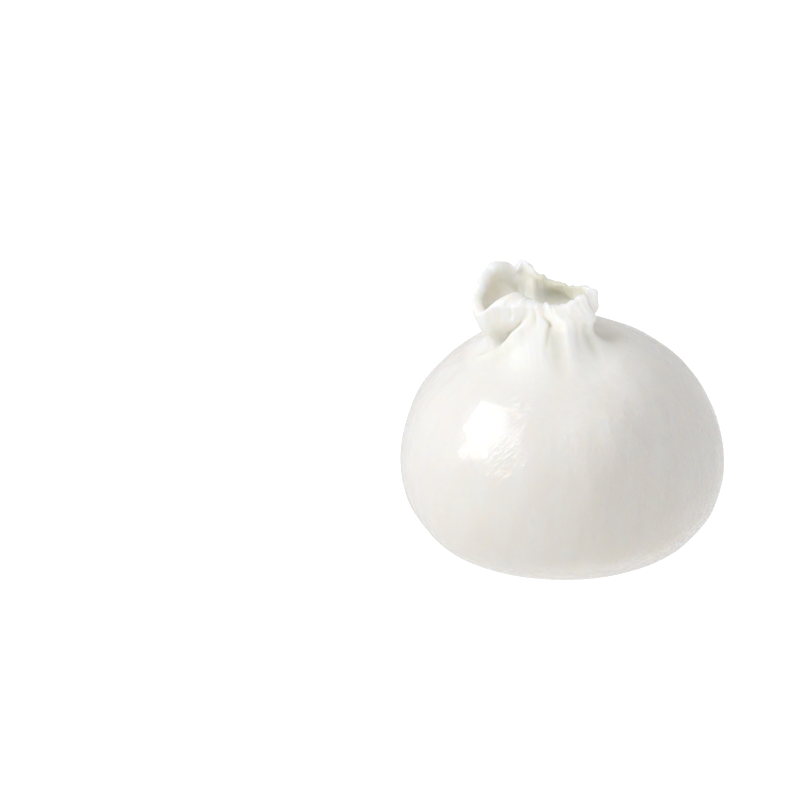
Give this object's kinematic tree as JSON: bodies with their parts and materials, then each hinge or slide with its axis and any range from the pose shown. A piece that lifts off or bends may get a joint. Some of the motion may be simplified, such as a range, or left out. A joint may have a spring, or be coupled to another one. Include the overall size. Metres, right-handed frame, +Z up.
{
  "type": "burrata",
  "caption": "Soft round ball of fresh white cheese, sagging onto a flat foot, with its skin gathered at the top into a short pleated neck and an open ragged frill.",
  "frame": {"origin": "on the surface that the cheese rests on, under the middle of the ball", "axes": "+Z up, -Y towards the front, +X to the right; the neck stands to the left of the ball's middle, and the frill's tall side is at its back left"},
  "size_m": [0.078, 0.078, 0.0691],
  "materials": {
    "cheese_skin": "moist, soft and translucent, warm white with faint cream in the folds, glossy where wet"
  },
  "bodies": {
    "root": {"burrata": "cheese_skin"}
  },
  "joints": []
}
